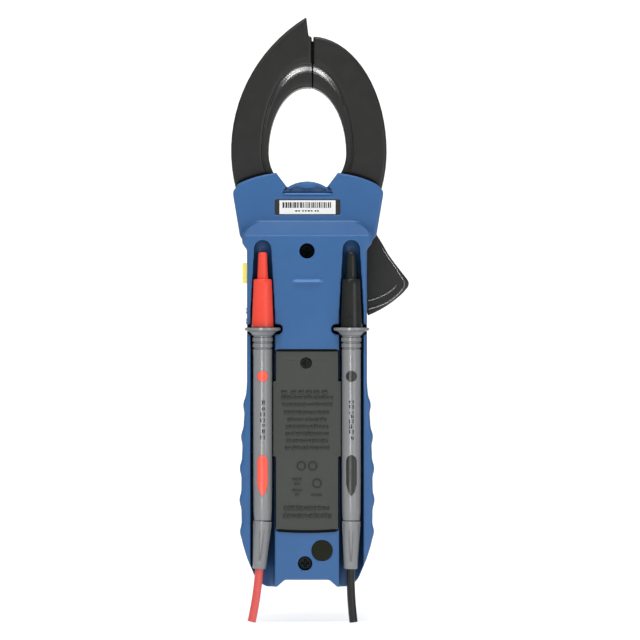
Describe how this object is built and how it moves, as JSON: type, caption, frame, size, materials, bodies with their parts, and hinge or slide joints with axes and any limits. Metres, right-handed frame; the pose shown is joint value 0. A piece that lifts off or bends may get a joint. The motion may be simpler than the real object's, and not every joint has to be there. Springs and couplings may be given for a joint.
{
  "type": "clamp meter",
  "caption": "Upright clamp meter with a hinged jaw, side trigger, rotary range switch, screwed battery cover and two test probes held in channels in its back.",
  "frame": {"origin": "midway between the two feet at the bottom end, on the plane they stand on, at the case's parting plane", "axes": "+Z from the feet to the jaw tips, -Y out of the back that carries the probes, +Y out of the display side, +X to the trigger side"},
  "size_m": [0.0751, 0.0581, 0.2546],
  "materials": {
    "case_blue": "fine moulded texture",
    "panel_grey": "satin",
    "clear_window": "clear",
    "lcd_glass": "satin",
    "board_green": "solder mask",
    "silicone": "matte",
    "jack_black": "satin",
    "brass": "machined",
    "switch_metal": "stamped",
    "screw_steel": "zinc plated",
    "screw_black": "black oxide",
    "label_black": "satin film",
    "label_white": "coated paper",
    "seal_olive": "satin film",
    "pin_steel": "ground",
    "jaw_black": "fine moulded texture",
    "core_steel": "laminated",
    "copper": "enamelled copper",
    "battery_can": "satin",
    "knob_black": "satin",
    "marker_white": "satin",
    "rotor_cream": "satin",
    "key_grey": "matte",
    "button_yellow": "satin",
    "cover_grey": "fine moulded texture",
    "foam_black": "open foam",
    "probe_grey": "satin",
    "red_plastic": "satin",
    "black_plastic": "satin",
    "red_lead_pvc": "flexible PVC",
    "black_lead_pvc": "flexible PVC"
  },
  "bodies": {
    "case": {"rear_cover": "case_blue", "front_cover": "case_blue", "front_panel": "panel_grey", "display_window": "clear_window", "lcd_panel": "lcd_glass", "main_board": "board_green", "keypad_mat": "silicone", "jack_block": "jack_black", "com_jack_sleeve": "brass", "volt_jack_sleeve": "brass", "buzzer": "jack_black", "side_switch": "switch_metal", "case_screws": "screw_steel", "label_backing": "label_black", "serial_label": "label_white", "seal_disc": "seal_olive", "pivot_pin": "pin_steel", "fixed_jaw_rear_shell": "jaw_black", "fixed_jaw_front_shell": "jaw_black", "fixed_jaw_core": "core_steel", "fixed_jaw_coil": "copper", "battery_9v": "battery_can", "battery_snap": "jack_black"},
    "moving_jaw": {"moving_jaw_rear_shell": "jaw_black", "moving_jaw_front_shell": "jaw_black", "moving_jaw_core": "core_steel", "moving_jaw_coil": "copper", "moving_jaw_screws": "screw_steel", "jaw_spring": "pin_steel"},
    "range_switch": {"range_knob": "knob_black", "knob_marker": "marker_white", "switch_rotor": "rotor_cream"},
    "hold_key_body": {"hold_key": "key_grey"},
    "zero_key_body": {"zero_key": "key_grey"},
    "range_key_body": {"range_key": "key_grey"},
    "mode_key_body": {"mode_key": "key_grey"},
    "side_button_body": {"side_button": "button_yellow"},
    "battery_door": {"battery_cover": "cover_grey", "battery_cover_screw": "screw_black", "battery_pad": "foam_black"},
    "red_probe": {"red_probe_handle": "probe_grey", "red_probe_core": "red_plastic", "red_probe_cap": "red_plastic", "red_probe_tip": "pin_steel", "red_probe_boot": "probe_grey", "red_lead": "red_lead_pvc", "red_lead_wire": "copper"},
    "black_probe": {"black_probe_handle": "probe_grey", "black_probe_core": "black_plastic", "black_probe_cap": "black_plastic", "black_probe_tip": "pin_steel", "black_probe_boot": "probe_grey", "black_lead": "black_lead_pvc", "black_lead_wire": "copper"}
  },
  "joints": [
    {"name": "jaw_hinge", "type": "hinge", "parent": "case", "child": "moving_jaw", "pos_m": [0.0086, 0, 0.1565], "axis": [0, 1, 0], "range_deg": [0, 23]},
    {"name": "range_turn", "type": "hinge", "parent": "case", "child": "range_switch", "pos_m": [0, 0.02, 0.106], "axis": [0, 1, 0], "range_deg": [0, 240]},
    {"name": "hold_press", "type": "slide", "parent": "case", "child": "hold_key_body", "axis": [0, -1, 0], "range_m": [0, 0.0008]},
    {"name": "zero_press", "type": "slide", "parent": "case", "child": "zero_key_body", "axis": [0, -1, 0], "range_m": [0, 0.0008]},
    {"name": "range_press", "type": "slide", "parent": "case", "child": "range_key_body", "axis": [0, -1, 0], "range_m": [0, 0.0008]},
    {"name": "mode_press", "type": "slide", "parent": "case", "child": "mode_key_body", "axis": [0, -1, 0], "range_m": [0, 0.0008]},
    {"name": "side_press", "type": "slide", "parent": "case", "child": "side_button_body", "axis": [1, 0, 0], "range_m": [0, 0.0012]},
    {"name": "battery_door_lift", "type": "slide", "parent": "case", "child": "battery_door", "axis": [0, -1, 0], "range_m": [0, 0.03]},
    {"name": "red_probe_lift", "type": "slide", "parent": "case", "child": "red_probe", "axis": [0, -1, 0], "range_m": [0, 0.03]},
    {"name": "black_probe_lift", "type": "slide", "parent": "case", "child": "black_probe", "axis": [0, -1, 0], "range_m": [0, 0.03]}
  ]
}
